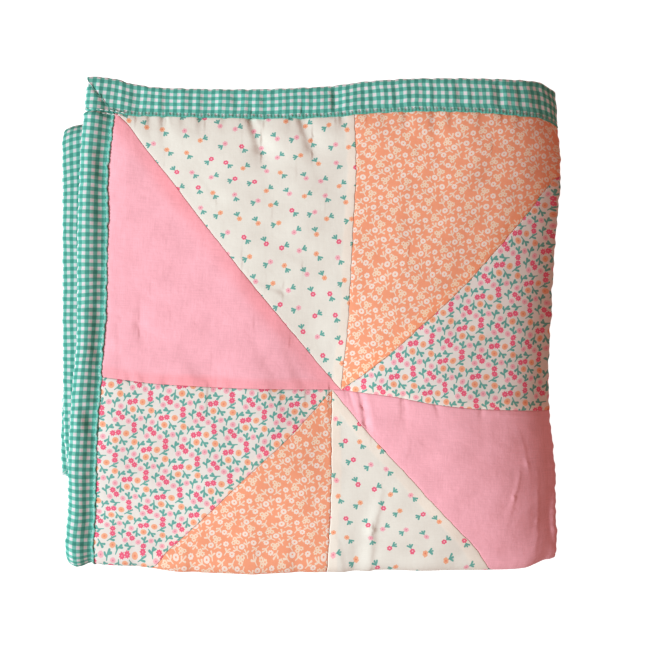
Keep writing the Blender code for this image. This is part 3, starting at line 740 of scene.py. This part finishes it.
def plainCloth(name, dye, roughness):
    # a plain weave with uneven dye
    bench = Bench(name, roughness)
    place = bench.node("ShaderNodeTexCoord", {}, {}, "Object")
    shade = (bench.noise(place, 900.0) - 0.5) * 0.16 + 1.0
    bench.feed("Base Color", bench.shaded(dyes[dye], shade, shade))
    bench.bump(bench.noise(place, 1800.0), 0.0002, 0.4)
    return bench.material


fabrics = {"pink": plainPink(), "sparse": sparseFlowers(), "coral": coralFlowers(), "dense": denseFlowers(),
           "gingham": ginghamCotton(), "backing": plainCloth("backingCotton", "backing", 0.9),
           "thread": plainCloth("cottonThread", "thread", 0.6),
           "tealThread": plainCloth("tealCottonThread", "tealThread", 0.7)}
print("cottons mixed")

# under: how far its face lies below the patches; clear: how far round a place their creases count
body = {"step": 0.008, "foldStep": 0.0025, "turnStep": (0.004, 0.003), "foldReach": 0.03, "start": 0.040,
        "edgeGap": 0.0003, "under": 0.0022, "clear": 0.0045, "thinnest": 0.0002}


def quiltBody():
    # a closed slab: face, back and four walls over one grid of the cloth
    edge, step = quilt["binding"] + body["edgeGap"], body["step"]
    left, right = quilt["foldAt"] - body["foldReach"], quilt["foldAt"] + body["foldReach"]
    u = stations((edge, left, step), (left, right, body["foldStep"]), (right, quilt["width"] - edge, step))
    v = stations((body["start"], frontTurn, step), (frontTurn, frontTurnEnd, body["turnStep"][0]),
                 (frontTurnEnd, backTurn, step), (backTurn, backTurnEnd, body["turnStep"][1]),
                 (backTurnEnd, length - edge, step))
    v, u = np.meshgrid(v, u, indexing="ij")
    half = paddingHalf(u, v)
    shifts = (-body["clear"], 0, body["clear"])
    lowest = np.min([creaseHeight(u + du, v + dv) for du in shifts for dv in shifts], axis=0)
    face = np.maximum(half - body["under"] + np.minimum(lowest, 0) * shownOnTop(u, v), body["thinnest"])
    points = np.stack([foldedPoint(u, v, face), foldedPoint(u, v, -half)])
    front = gridFaces(*u.shape)
    top = np.arange(u.size).reshape(u.shape)
    walls = [np.stack([a[:-1], a[1:], a[1:] + u.size, a[:-1] + u.size], -1)
             for a in (top[0], top[:, -1], top[-1, ::-1], top[::-1, 0])]
    piece = newPiece("quiltBody", points, [front, front[:, ::-1] + u.size, *walls], fabrics["backing"])
    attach(piece, "root")
    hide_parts("quilt_body")


quiltBody()
print("body padded")

# fine and coarse steps are for blocks that show and blocks that don't
patchwork = {"fineStep": 0.0014, "coarseStep": 0.0055, "columnEdge": 0.0215, "footEdge": 0.022,
             "bows": {(0, 1): 0.0036}}  # how far a column's seam bows out beside a row of blocks
# u of the three inner column lines at the top and at the foot of each row of blocks
columnLines = np.array([
    ((246.7, 500, 690), (244.6, 475, 683)), ((236.8, 475, 683), (229, 456, 676)),
    ((238, 456, 676), (240, 457, 674)), ((240, 457, 674), (240, 458, 674)),
    ((240, 458, 674), (240, 458, 674))]) * mm
# u and v of each row line across the quilt
rowLines = [np.array(rows) * mm for rows in (
    [(0, 25), (900, 25)],
    [(0, 277.2), (21.5, 279), (43.6, 281.8), (75.8, 285.7), (110.6, 287.9), (145.3, 289.7),
     (189.2, 290.9), (242, 291.3), (257.3, 293.1), (292.1, 297.6), (330.4, 304.7), (364.7, 308.8),
     (391.2, 310.2), (440, 312), (680, 305), (900, 296)],
    [(0, 510), (230, 540), (456, 551.5), (900, 542)],
    [(0, 755), (450, 762), (900, 760)],
    [(0, 979), (450, 980), (900, 980)])]
lastLine = length - patchwork["footEdge"]
rowLines.append(np.array([(0.0, lastLine), (quilt["width"], lastLine)]))
# the diagonal seams that show, as v along u, by row and column of blocks
diagonals = {place: np.array(rows) * mm for place, rows in {
    (0, 0): [(21.5, 25), (31.5, 34.5), (41.1, 41), (49.9, 50.8), (73.7, 81), (112.1, 134.4), (187.4, 227.2),
             (225.1, 269.8), (244.6, 291.4)],
    (0, 1): [(244.6, 291.4), (268.6, 274.1), (291.4, 254.8), (309.5, 237.3), (352.9, 195.3), (384.4, 157.4),
             (405.6, 130.5), (437, 84), (500, 23)],
    (1, 0): [(21.5, 513), (69.9, 466.2), (88.1, 446.4), (112.1, 419), (145.7, 384), (178.6, 353),
             (195.7, 337), (218.9, 311.8), (236.8, 291.2)],
    (1, 1): [(236.8, 291.2), (276.3, 340.5), (334.3, 409), (373, 454.6), (456, 551.5)],
}.items()}
# a pinwheel of four blocks: the way of the diagonal, the cotton below it and the one above
pinwheel = {(0, 0): ("down", "pink", "sparse"), (0, 1): ("up", "dense", "coral"),
            (1, 0): ("up", "coral", "dense"), (1, 1): ("down", "sparse", "pink")}
# each way's diagonal and the corners of its two triangles
triangles = {
    "down": (("topLeft", "footRight"),
             ("topLeft", "footLeft", "footRight"), ("topLeft", "topRight", "footRight")),
    "up": (("footLeft", "topRight"),
           ("topRight", "footRight", "footLeft"), ("topLeft", "topRight", "footLeft")),
}
# seams with turned cloth under that patch: row, column, side of the diagonal; then which of its seams, and
# how wide that cloth is and how softly it ends, in mm
turnedSeams = {
    (0, 0, "Low"): {0: (9.0, 9.0), 1: (12.0, 20.0)}, (0, 0, "High"): {0: (8.0, 3.6)},
    (0, 1, "Low"): {0: (8.0, 3.6)}, (0, 1, "High"): {0: (9.0, 8.0)}, (1, 0, "High"): {0: (8.0, 4.0)},
    (1, 1, "Low"): {1: (9.5, 4.0), 2: (8.0, 3.6)},
}
grain = {"pink": 3, "sparse": -4, "coral": 12, "dense": 5}  # degrees off the straight


def patch(name, corners, seams, fabric, step, turned):
    # a triangle of lattice points b0 P0 + b1 P1 + b2 P2, each side bent to its seam, one row tucked under
    corners = np.array(corners)
    sides = np.linalg.norm(corners - np.roll(corners, -1, axis=0), axis=1)
    count = int(math.ceil(sides.max() / step))
    total = count + 3
    i, j = np.meshgrid(np.arange(total + 1), np.arange(total + 1), indexing="ij")
    inside = i + j <= total
    order = np.full(i.shape, -1)
    order[inside] = np.arange(inside.sum())
    weights = np.stack([i[inside], j[inside], total - i[inside] - j[inside]], -1)
    share = (weights - 1) / count
    place = share @ corners
    doubleArea = np.linalg.det(np.stack([corners[1] - corners[0], corners[2] - corners[0]]))
    depths = []
    for k in range(3):  # seams[k] joins the two corners other than k
        start, end = corners[k - 2], corners[k - 1]
        span = np.where(np.abs(1 - share[:, k]) < 1e-6, 1.0, 1 - share[:, k])
        t = np.clip(share[:, k - 1] / span, 0, 1)
        chord = start + (end - start) * t[:, None]
        place = place + (seams[k](t) - chord) * np.clip(1 - share[:, k:k + 1], 0, 1.02) ** 2
        depths.append(share[:, k] * abs(doubleArea) / np.linalg.norm(end - start))
    u, v = place.T
    depths = np.stack(depths, -1)
    near = np.clip(depths.min(axis=1), 0, None)
    band = np.zeros(len(u))
    for k, (wide, soft) in turned.items():
        across = 1000 * depths[:, k] + waves(u + v, (0.6, 60, 0)) + waves(u - v, (0.3, 410, 0))
        band = np.maximum(band, 1 - smooth((across - wide + soft / 2) / soft))
    band = band * (0.80 + 0.20 * np.sin(41 * u + 29 * v + 1.3))
    top = shownOnTop(u, v)
    proud = relief["swell"] * (1 - np.exp(-near / relief["swellReach"])) + relief["allowance"] * band
    proud += creaseHeight(u, v) + billowHeight(u, v) * (1 - np.exp(-near / relief["billowReach"]))
    beyond = np.clip(np.maximum(curve(sideEdge, 1, v) - u, curve(headEdge, 1, u) - v), 0, None)
    proud -= relief["sunk"] * smooth(beyond / relief["sunkReach"])
    height = paddingHalf(u, v) - relief["seamDip"] * np.exp(-near / relief["dipReach"]) + proud * top
    height -= relief["skirt"] * (weights.min(axis=1) == 0)
    faces = [np.stack([side.ravel() for side in triangle], -1) for triangle in (
        (order[:-1, :-1], order[1:, :-1], order[:-1, 1:]), (order[1:, :-1], order[1:, 1:], order[:-1, 1:]))]
    faces = np.concatenate([f[(f >= 0).all(axis=1)] for f in faces])
    if doubleArea > 0:  # the patchwork side faces out
        faces = faces[:, ::-1]
    turn = math.radians(grain[fabric])
    cloth = np.stack([u * math.cos(turn) + v * math.sin(turn), v * math.cos(turn) - u * math.sin(turn)], -1)
    tints = {"turnedCloth": band * top, "seamDistance": 1000 * depths.min(axis=1),
             "seamOver": np.isin(depths.argmin(axis=1), list(turned))}
    piece = newPiece(name, foldedPoint(u, v, height), [faces], fabrics[fabric], cloth, tints)
    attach(piece, "root")


def tableSeam(start, end, rows):
    # from corner to corner, v read from a table along u
    def line(t):
        u = start[0] + (end[0] - start[0]) * t
        return np.stack([u, curve(rows, 1, u)], -1)
    return line


def straightSeam(start, end, bow=0.0):
    # straight from corner to corner, bowed by 4 bow t(1 - t)
    start, end = np.array(start), np.array(end)
    return lambda t: start + (end - start) * t[:, None] + np.stack([bow * 4 * t * (1 - t), 0 * t], -1)


def blockSeams(corner, row, column, diagonal):
    # the five seams of a block, by the corners that each joins
    seams = {}
    for end, line in (("top", row), ("foot", row + 1)):
        ends = (end + "Left", end + "Right")
        seams[ends] = tableSeam(corner[ends[0]], corner[ends[1]], rowLines[line])
    for side, line in (("Left", column), ("Right", column + 1)):
        ends = ("top" + side, "foot" + side)
        seams[ends] = straightSeam(corner[ends[0]], corner[ends[1]], patchwork["bows"].get((row, line), 0.0))
    start, end = corner[diagonal[0]], corner[diagonal[1]]
    rows = diagonals.get((row, column))
    seams[diagonal] = straightSeam(start, end) if rows is None else tableSeam(start, end, rows)
    for (first, last), line in list(seams.items()):
        seams[last, first] = lambda t, line=line: line(1 - t)
    return seams


def layPatches():
    # a block's corners lie where the column lines cross the row lines; its two triangles share its diagonal
    lines = np.pad(columnLines, ((0, 0), (0, 0), (1, 1)), constant_values=patchwork["columnEdge"])
    lines[:, :, -1] = quilt["width"] - patchwork["columnEdge"]
    for row, column in np.ndindex(5, 4):
        corner = {}
        for k, end in enumerate(("top", "foot")):
            for side, u in zip(("Left", "Right"), lines[row, k, column:column + 2]):
                corner[end + side] = (u, float(curve(rowLines[row + k], 1, u)))
        way, *cottons = pinwheel[row % 2, column % 2]
        diagonal, *halves = triangles[way]
        seams = blockSeams(corner, row, column, diagonal)
        step = patchwork["fineStep"] if row < 2 and column < 2 else patchwork["coarseStep"]
        for part, fabric, names in zip(("Low", "High"), cottons, halves):
            patch(f"patch{row + 1}{column + 1}{part}", [corner[n] for n in names],
                  [seams[names[k - 2], names[k - 1]] for k in range(3)], fabric, step,
                  turnedSeams.get((row, column, part), {}))


layPatches()
print("patches laid")

binding = {
    "fine": 0.0008, "middling": 0.0012, "coarse": 0.0030, "hemThreadAndShade": 0.72, "hemThreadAndShadeColumns": 4,
    "stitch": 0.0032, "pinch": 0.00030, "gather": 0.00034, "lipGather": 0.00020, "creases": 1.6,
    "edgeRipple": 0.0004, "lipRipple": 0.00050, "sideLipRipple": 0.00062,
    "full": (0.25, 0.75, 0.15), "lip": (0.86, 0.06),  # shares of the width: where it is full, and its lip
    # how an end is cut on the slant, as a share of the way in and more; the width of cloth round a section
    "endCut": (0.93, 0.0002), "sideCut": (1.07, 0.0006), "drawnUp": 0.02, "section": (0.0310, 0.0275),
}
# the face of a binding from its outer edge to its stitched edge: share of its width, height in mm where it
# is pressed between the runs, height where it shows across an end, height where it shows down a side
bindingFace = np.array([
    (0.000, 0.0, 0.0, 0.0), (0.004, 0.8, 1.4, 1.4), (0.016, 1.8, 2.9, 3.1), (0.045, 2.8, 4.0, 4.5),
    (0.10, 3.2, 4.4, 5.6), (0.20, 3.4, 4.6, 6.7), (0.35, 3.4, 4.65, 7.2), (0.50, 3.4, 4.5, 6.2),
    (0.62, 3.3, 4.05, 4.7), (0.74, 3.1, 3.3, 2.9), (0.83, 2.7, 2.6, 1.9), (0.885, 2.3, 2.05, 1.5),
    (0.92, 2.5, 2.4, 2.2), (0.955, 2.6, 2.8, 3.1), (0.985, 2.5, 2.7, 3.1), (1.000, 2.0, 2.1, 2.5)])
bindingBack = np.array([(1.000, -2.0), (0.70, -3.3), (0.30, -3.4), (0.06, -2.4), (0.01, -1.2)])
# where the head's fold starts on the edge and its slant; the line sewn across the side strip under it
mitre = {
    "u": 0.0014, "v": 0.0066, "slope": 1.066, "sewn": 0.0348, "underHead": 0.0305, "gap": 0.0004,
    "notch": 0.0032, "notchReach": 0.0018, "floor": 0.0018,
    "pressed": 0.22, "pressedFrom": -0.001, "pressedReach": 0.003,
    "sewnDepth": 0.0016, "sewnReach": 0.0011, "foldDepth": 0.0012, "foldReach": 0.0010,
}


def fineWave(along, seed):
    # three sines of unlike length, as gathered cloth has
    sizes = ((0.5, 0.0113, 1.0), (0.3, 0.0071, 2.3), (0.6, 0.0187, 1.7))
    return waves(along, *[(size, 2 * math.pi / span, start * seed) for size, span, start in sizes])


def profile(side):
    # the section as one loop: share of the width, height pressed, height shown
    return np.concatenate([bindingFace[:, (0, 1, 3 if side else 2)], bindingBack[:, (0, 1, 1)]]).T


def bindingHeight(share, pressed, shown, along, u, v, seed):
    # the section's height, with gathers, and pinched at every stitch near its stitched edge
    top = shownOnTop(u, v)
    height = (pressed + (shown - pressed) * top) * mm
    face = height > 0
    rise, end, fall = binding["full"]
    full = smooth(share / rise) * (1 - smooth((share - end) / fall))
    gathers = binding["gather"] * fineWave(along, seed + 1) + binding["creases"] * creaseHeight(u, v)
    beat = np.sin(2 * math.pi * along / binding["stitch"])
    pinches = binding["pinch"] * beat + binding["lipGather"] * fineWave(along, seed + 3)
    start, reach = binding["lip"]
    return height + face * top * (full * gathers + smooth((share - start) / reach) * pinches)


def bindingMesh(name, node, u, v, height, cloth, insideOut):
    # a loop of the section at every station, and a cap at both ends
    if insideOut:
        u, v, height, cloth = (grid[::-1] for grid in (u, v, height, cloth))
    # the last columns before the stitched edge take the teal tint: thread colour and painted groove shade
    hemThreadAndShade = np.zeros(u.shape)
    hemThreadAndShade[:, len(bindingFace) - binding["hemThreadAndShadeColumns"]:len(bindingFace)] = binding["hemThreadAndShade"]
    order = np.arange(u.size).reshape(u.shape)
    faces = [gridFaces(*u.shape, closed=True), order[:1], order[-1:, ::-1]]
    piece = newPiece(name, foldedPoint(u, v, height), faces, fabrics["gingham"], cloth, {"hemThreadAndShade": hemThreadAndShade})
    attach(piece, "root")
    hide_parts(node)


def sectionRun(shares, shown, width, shape):
    return np.broadcast_to(runLength(np.stack([shares * width, shown * mm], -1)), shape)


def runAlong(place, u, v, height):
    # the real distance travelled along the face, a fifth of the way across it, at every place
    run = runLength(foldedPoint(u, v, height)[:, 5])
    return np.interp(place, place[:, 5], run + place[0, 5])


def heldBetween(place, low, high):
    # beyond low and high the places are drawn up close to them, so that an end is cut on the slant
    short = np.where(place < low, low - binding["drawnUp"] * (low - place), place)
    return np.where(short > high, high + binding["drawnUp"] * (short - high), short)


def rippled(shares, width, along, lipRipple, seed):
    # how far in from its outer edge each place of a strip lies, both of its edges a little wavy
    edge = binding["edgeRipple"] * fineWave(along, seed) * (1 - smooth(shares / 0.3))
    return shares * width + edge + lipRipple * fineWave(along, seed + 5) * smooth((shares - 0.8) / 0.2)


def endBinding(name, node, foot, seed):
    # a padded strip across an end; its own ends are cut on the slant
    shares, pressed, shown = profile(False)
    along = stations((0.0, 0.470, binding["fine"]), (0.470, quilt["width"], binding["coarse"]))[:, None]
    width = np.full(along.shape, quilt["binding"]) if foot else curve(headEdge, 1, along)
    inset = rippled(shares, width, along, binding["lipRipple"], seed)
    farCut = inset * binding["endCut"][0] + binding["endCut"][1]
    cut = farCut if foot else np.clip(mitre["u"] + (inset - mitre["v"]) / mitre["slope"], 0, None)
    u = heldBetween(along, cut, quilt["width"] - farCut)
    v = length - inset if foot else inset
    height = bindingHeight(shares, pressed, shown, along, u, v, seed)
    section = sectionRun(shares, shown, binding["section"][0], u.shape)
    cloth = np.stack([runAlong(u, u, v, height), section], -1)
    bindingMesh(name, node, u, v, height, cloth, not foot)


def sideBinding(name, node, lower, seed):
    # a padded strip down a side; at the head it runs in flat under the end strip's fold
    shares, pressed, shown = profile(True)
    steps = ("coarse", "middling", "coarse") if lower else ("fine", "coarse", "middling")
    ends = (0.0, 0.49, 0.88, length) if lower else (0.0, 0.48, 0.94, length)
    along = stations(*[(a, b, binding[step]) for a, b, step in zip(ends, ends[1:], steps)])[:, None]
    width = np.full(along.shape, quilt["binding"]) if lower else curve(sideEdge, 1, along)
    inset = rippled(shares, width, along, binding["sideLipRipple"], seed)
    footCut = inset * binding["sideCut"][0] + binding["sideCut"][1]
    slant = mitre["v"] + (inset - mitre["u"]) * mitre["slope"] + mitre["gap"]
    v = heldBetween(along, footCut if lower else np.minimum(slant, mitre["underHead"]), length - footCut)
    fromSewn = v - mitre["sewn"]
    if not lower:  # the sewn line draws the edge in
        drawn = np.exp(-(fromSewn / mitre["notchReach"]) ** 2)
        inset = inset + mitre["notch"] * drawn * (1 - smooth(shares / 0.5))
    u = quilt["width"] - inset if lower else inset
    height = bindingHeight(shares, pressed, shown, along, u, v, seed)
    if not lower:  # pressed flat at the corner, with a groove under the sewn line and one along the fold
        groove = mitre["sewnDepth"] * np.exp(-(fromSewn / mitre["sewnReach"]) ** 2)
        groove = groove + mitre["foldDepth"] * np.exp(-((v - slant) / mitre["foldReach"]) ** 2)
        free = smooth((fromSewn - mitre["pressedFrom"]) / mitre["pressedReach"])
        flat = height * (1 - mitre["pressed"] * (1 - free))
        flat = np.maximum(flat - groove * smooth(shares / 0.05), np.minimum(height, mitre["floor"]))
        height = np.where(height > 0, flat, height)
    section = sectionRun(shares, shown, binding["section"][1], v.shape)
    cloth = np.stack([section, runAlong(v, u, v, height)], -1)
    bindingMesh(name, node, u, v, height, cloth, lower)


endBinding("headBinding", "binding_head", False, 0.7)
endBinding("footBinding", "binding_foot", True, 1.9)
sideBinding("upperSideBinding", "binding_side_upper", False, 3.1)
sideBinding("lowerSideBinding", "binding_side_lower", True, 4.3)
print("binding sewn on")

stitching = {
    "length": 0.0022, "spacing": 0.0032, "radius": 0.00022, "sides": 6, "arch": 0.6, "proud": 0.0001,
    # how far along a stitch each of its rings lies, and its share of the thread's radius
    "rings": ((0.06, 0.55), (0.28, 1.0), (0.72, 1.0), (0.94, 0.55)),
    "row": 0.89,  # how far across its strip a row runs, as a share
    "firstU": 0.036, "firstV": 0.040, "last": 0.034,
    "cornerScale": 1.7, "cornerSpacing": 0.0048, "cornerTurn": (0.024, 0.10),
    # the two rows across the head's corner: v, first and last u, height
    "corner": {"cornerStitchesUpper": (0.0332, 0.0020, 0.036, 0.0044),
               "cornerStitchesLower": (0.0362, 0.0040, 0.034, 0.0040)},
}


def stitchLine(name, u, v, height, across, finish, scale=1.0):
    # short round-ended threads: rings along each stitch's own direction, closed by two poles
    half, radius = scale * stitching["length"] / 2, scale * stitching["radius"]
    du, dv = (half, 0) if across else (0, half)
    start, middle, end = (foldedPoint(u + k * du, v + k * dv, height) for k in (-1, 0, 1))
    up = foldedPoint(u, v, height + 0.001) - middle
    run = end - start
    up, run = (way / np.linalg.norm(way, axis=1, keepdims=True) for way in (up, run))
    side = np.cross(run, up)
    up = np.cross(side, run)
    n, rings = stitching["sides"], stitching["rings"]
    points = [start]
    for t, swell in rings:
        centre = start + (end - start) * t + up * radius * stitching["arch"] * math.sin(math.pi * t)
        for angle in np.arange(n) * 2 * math.pi / n:
            points.append(centre + radius * swell * (side * math.cos(angle) + up * math.sin(angle)))
    points = np.stack([*points, end], 1)
    here = np.arange(n)
    after = (here + 1) % n
    ring = np.stack([here, after, after + n, here + n], -1) + 1
    quads = np.concatenate([ring + k * n for k in range(len(rings) - 1)])
    last = 1 + (len(rings) - 1) * n
    poles = np.concatenate([np.stack([0 * here, 1 + after, 1 + here], -1),
                            np.stack([0 * here + last + n, last + here, last + after], -1)])
    base = np.arange(len(start))[:, None, None] * points.shape[1]
    piece = newPiece(name, points, [(quads + base).reshape(-1, 4), (poles + base).reshape(-1, 3)], finish)
    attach(piece, "root")


def grooveStitches(name, u, v, across, seed):
    # a row in the groove beside a strip's stitched edge
    u, v = np.broadcast_arrays(u, v)
    shares, pressed, shown = profile(not across)[:, :len(bindingFace)]
    low, high = (np.interp(stitching["row"], shares, column) for column in (pressed, shown))
    share = np.full(u.shape, stitching["row"])
    height = bindingHeight(share, low, high, u if across else v, u, v, seed) + stitching["proud"]
    stitchLine(name, u, v, height, across, fabrics["tealThread"])


def sewBinding():
    # a row of stitches along each strip, and two short rows across the head's corner
    row, width = stitching["row"], quilt["width"]
    u = np.arange(stitching["firstU"], width - stitching["last"], stitching["spacing"])
    v = np.arange(stitching["firstV"], length - stitching["last"], stitching["spacing"])
    grooveStitches("headStitches", u, row * curve(headEdge, 1, u), True, 0.7)
    grooveStitches("footStitches", u, length - row * quilt["binding"], True, 1.9)
    grooveStitches("upperSideStitches", row * curve(sideEdge, 1, v), v, False, 3.1)
    grooveStitches("lowerSideStitches", width - row * quilt["binding"], v, False, 4.3)
    for name, (at, start, end, lift) in stitching["corner"].items():
        u = np.arange(start, end, stitching["cornerSpacing"])
        v = at - stitching["cornerTurn"][1] * np.clip(u - stitching["cornerTurn"][0], 0, None)
        stitchLine(name, u, v, np.full(u.shape, lift), True, fabrics["thread"], stitching["cornerScale"])


sewBinding()
print("stitches sewn")

studio = {
    "floor": 0.35, "floorGlow": 1.0, "floorReach": 30.0, "floorZ": -0.0006,
    "sky": 0.37, "skyColour": (1.0, 0.552, 0.430, 1.0),
    "softbox": (-4.69, -1.26, 3.53), "softboxSize": 3.0, "softboxPower": 478.0,
    "softboxColour": (0.81, 1.015, 1.072),
    "camera": (0.0136, 0.0007, 1.346), "lens": 78.26,
}


def setStudio():
    # a plain pale floor, one large soft light low at the left and an even sky
    bench = Bench("paleFloor", 0.9, specular=0.1)
    bench.feed("Base Color", (*[studio["floor"]] * 3, 1))
    bench.feed("Emission Color", (1, 1, 1, 1))
    bench.feed("Emission Strength", studio["floorGlow"])
    reach = studio["floorReach"]
    points = [(x * reach, y * reach, studio["floorZ"]) for x, y in ((-1, -1), (1, -1), (1, 1), (-1, 1))]
    floor = newPiece("floor", points, [np.array([(0, 1, 2, 3)])], bench.material)
    floor.visible_diffuse = False  # no light comes up off it onto the cloth
    world = bpy.data.worlds.new("evenSky")
    world.use_nodes = True
    world.node_tree.nodes["Background"].inputs["Color"].default_value = studio["skyColour"]
    world.node_tree.nodes["Background"].inputs["Strength"].default_value = studio["sky"]
    bpy.context.scene.world = world
    light = bpy.data.lights.new("softbox", "AREA")
    light.shape, light.size, light.energy = "SQUARE", studio["softboxSize"], studio["softboxPower"]
    light.color = studio["softboxColour"]
    lamp = bpy.data.objects.new("softbox", light)
    bpy.context.scene.collection.objects.link(lamp)
    x, y, z = studio["softbox"]
    lamp.location = (x, y, z)
    lamp.rotation_euler = (math.atan2(math.hypot(x, y), z), 0, math.atan2(y, x) + math.pi / 2)
    view = bpy.data.cameras.new("camera")
    view.lens, view.sensor_width, view.clip_start = studio["lens"], 36, 0.05
    camera = bpy.data.objects.new("camera", view)
    camera.location = studio["camera"]
    bpy.context.scene.collection.objects.link(camera)
    bpy.context.scene.camera = camera
    bpy.context.scene.view_settings.view_transform = "Standard"


setStudio()
print("studio set")
